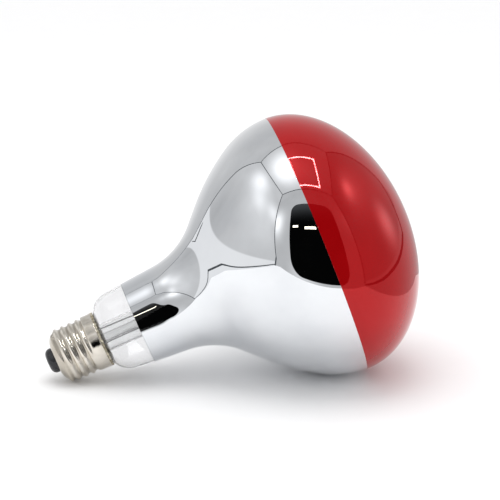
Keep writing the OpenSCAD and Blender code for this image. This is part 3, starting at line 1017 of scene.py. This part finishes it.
def makeSeams():
    # dark sewn edges along the tent's corners, and where the side cloths meet the floor paper
    t = tent
    left, right, front, top, topBack = t["left"], t["right"], t["front"], t["top"], t["topBack"]
    material, place, setSockets = newMaterial("seam tape", "ShaderNodeEmission", False)
    setSockets({"Color": (t["seamGlow"] * (0.7 + place.noise(40.0) * 0.6)).tinting(rgb(0.85, 0.93, 1.0))})
    runs = [[(left, y, top), (right, y, top)] for y in (front, topBack)]
    runs += [[(x, front, 0), (x, front, top), (x, topBack, top)] for x in (left, right)]
    runs.append([(left, topBack, top), (left, t["footLeft"], 0)])
    runs.append([(right, y, z) for y, z in ((front, 3), (-39, 46), (75, 71), (128, 131), (topBack, top))])
    curl = []
    for i in range(25):  # the floor paper curls up the left cloth towards the back
        y = front + (t["curlEnd"] - front) * i / 24
        past = y - t["curlStart"]
        curl.append((left, y, t["curlFoot"] + t["curlRise"] * (past + math.hypot(past, t["curlSoft"]))))
    runs.append(curl)
    for number, run in enumerate(runs):
        points, faces = [], []
        for start, end in zip(map(Vector, run), map(Vector, run[1:])):
            across = (end - start).orthogonal().normalized() * t["seam"] * (0.3 if run is curl else 0.5)
            beside = (end - start).normalized().cross(across)
            first = len(points)
            for stop in (start, end):
                points += [stop + across + beside, stop + across - beside,
                           stop - across - beside, stop - across + beside]
            for k in range(4):
                n = (k + 1) % 4
                faces.append([first + k, first + n, first + 4 + n, first + 4 + k])
        onlyInGloss(stagePiece("seam_" + str(number), points, faces, material))


def makeDoor():
    # the rounded opening in the front cloth, dark behind
    d = tent["door"]
    y = tent["front"] + 2
    points = []
    for cx, cz, radius, start in (
        (d["right"] - d["topRound"], d["top"] - d["topRound"], d["topRound"], 0),
        (d["left"] + d["topRound"], d["top"] - d["topRound"], d["topRound"], 90),
        (d["left"] + d["lowRound"], d["bottom"] + d["lowRound"], d["lowRound"], 180),
        (d["right"] - d["lowRound"], d["bottom"] + d["lowRound"], d["lowRound"], 270),
    ):
        for i in range(13):
            a = radians(start + 90 * i / 12)
            points.append((cx + radius * math.cos(a), y, cz + radius * math.sin(a)))
    material, place, setSockets = newMaterial("dark opening", "ShaderNodeEmission", False)
    high = place.axis("Z").between(d["litFrom"] * mm, d["litTo"] * mm)
    setSockets({"Color": (d["dark"] + high * high * d["lit"]).tinting(rgb(0.9, 0.95, 1.0))})
    onlyInGloss(stagePiece("door", points, [list(range(len(points)))], material))
    lamp, place, setSockets = newMaterial("far lamp", "ShaderNodeEmission", False)
    setSockets({"Color": (2.5 + place.noise(90.0)).tinting(rgb(1.0, 0.92, 0.75))})
    for number, (x0, x1, z0, z1) in enumerate(tent["farLamps"]):
        corners = [(x0, y + 2, z0), (x1, y + 2, z0), (x1, y + 2, z1), (x0, y + 2, z1)]
        onlyInGloss(stagePiece("far_lamp_" + str(number), corners, [[0, 1, 2, 3]], lamp))


def makeLampRing():
    # a square ring of small lamps under the top cloth
    r = tent["ring"]
    z = tent["top"] - 4
    material, place, setSockets = newMaterial("ring lamps", "ShaderNodeEmission", False)
    setSockets({"Color": (r["glow"] * (0.8 + place.noise(30.0) * 0.4)).tinting(rgb(1, 1, 1))})
    points, faces = [], []
    half = r["size"] / 2
    for i in range(r["dots"]):
        t = i / (r["dots"] - 1)
        x = r["left"] + (r["right"] - r["left"]) * t
        y = r["front"] + (r["back"] - r["front"]) * t
        for cx, cy in ((x, r["front"]), (x, r["back"]), (r["left"], y), (r["right"], y)):
            faces.append([len(points) + k for k in range(4)])
            points += [(cx - half, cy - half, z), (cx + half, cy - half, z),
                       (cx + half, cy + half, z), (cx - half, cy + half, z)]
    onlyInGloss(stagePiece("lamp_ring", points, faces, material))


makeTent()
makeSeams()
makeDoor()
makeLampRing()
print("floor and tent made")


lighting = {"sky": 1.06, "panelSize": 0.5, "panelPlace": (-0.05, -0.05, 0.75), "panelPower": 1.6}

world = bpy.data.worlds.new("soft white")
world.use_nodes = True
background = world.node_tree.nodes["Background"]
background.inputs["Color"].default_value = rgb(1.0, 1.0, 1.0)
background.inputs["Strength"].default_value = lighting["sky"]
bpy.context.scene.world = world

panel = bpy.data.lights.new("soft panel", "AREA")
panel.size = lighting["panelSize"]
panel.energy = lighting["panelPower"]
panelObject = bpy.data.objects.new("soft panel", panel)
panelObject.location = lighting["panelPlace"]
panelObject.visible_glossy = False
bpy.context.collection.objects.link(panelObject)

view = {
    "azimuth": 7.8, "elevation": 15.0, "roll": -0.313, "distance": 1.2039, "aim": (0.0089, 0.0, 0.05928),
    "lens": 187.2,
}


def placeCamera():
    azimuth, elevation = radians(view["azimuth"]), radians(view["elevation"])
    level = math.cos(elevation)
    look = Vector((math.sin(azimuth) * level, math.cos(azimuth) * level, -math.sin(elevation)))
    camera = bpy.data.cameras.new("camera")
    camera.lens = view["lens"]
    camera.clip_start = 0.01
    cameraObject = bpy.data.objects.new("camera", camera)
    cameraObject.location = Vector(view["aim"]) - look * view["distance"]
    roll = Matrix.Rotation(radians(view["roll"]), 4, "Z")
    turn = look.to_track_quat("-Z", "Y").to_matrix().to_4x4() @ roll
    cameraObject.rotation_euler = turn.to_euler()
    bpy.context.collection.objects.link(cameraObject)
    bpy.context.scene.camera = cameraObject


placeCamera()
bpy.context.scene.view_settings.view_transform = "Standard"
print("light and camera set")

bpy.context.view_layer.update()
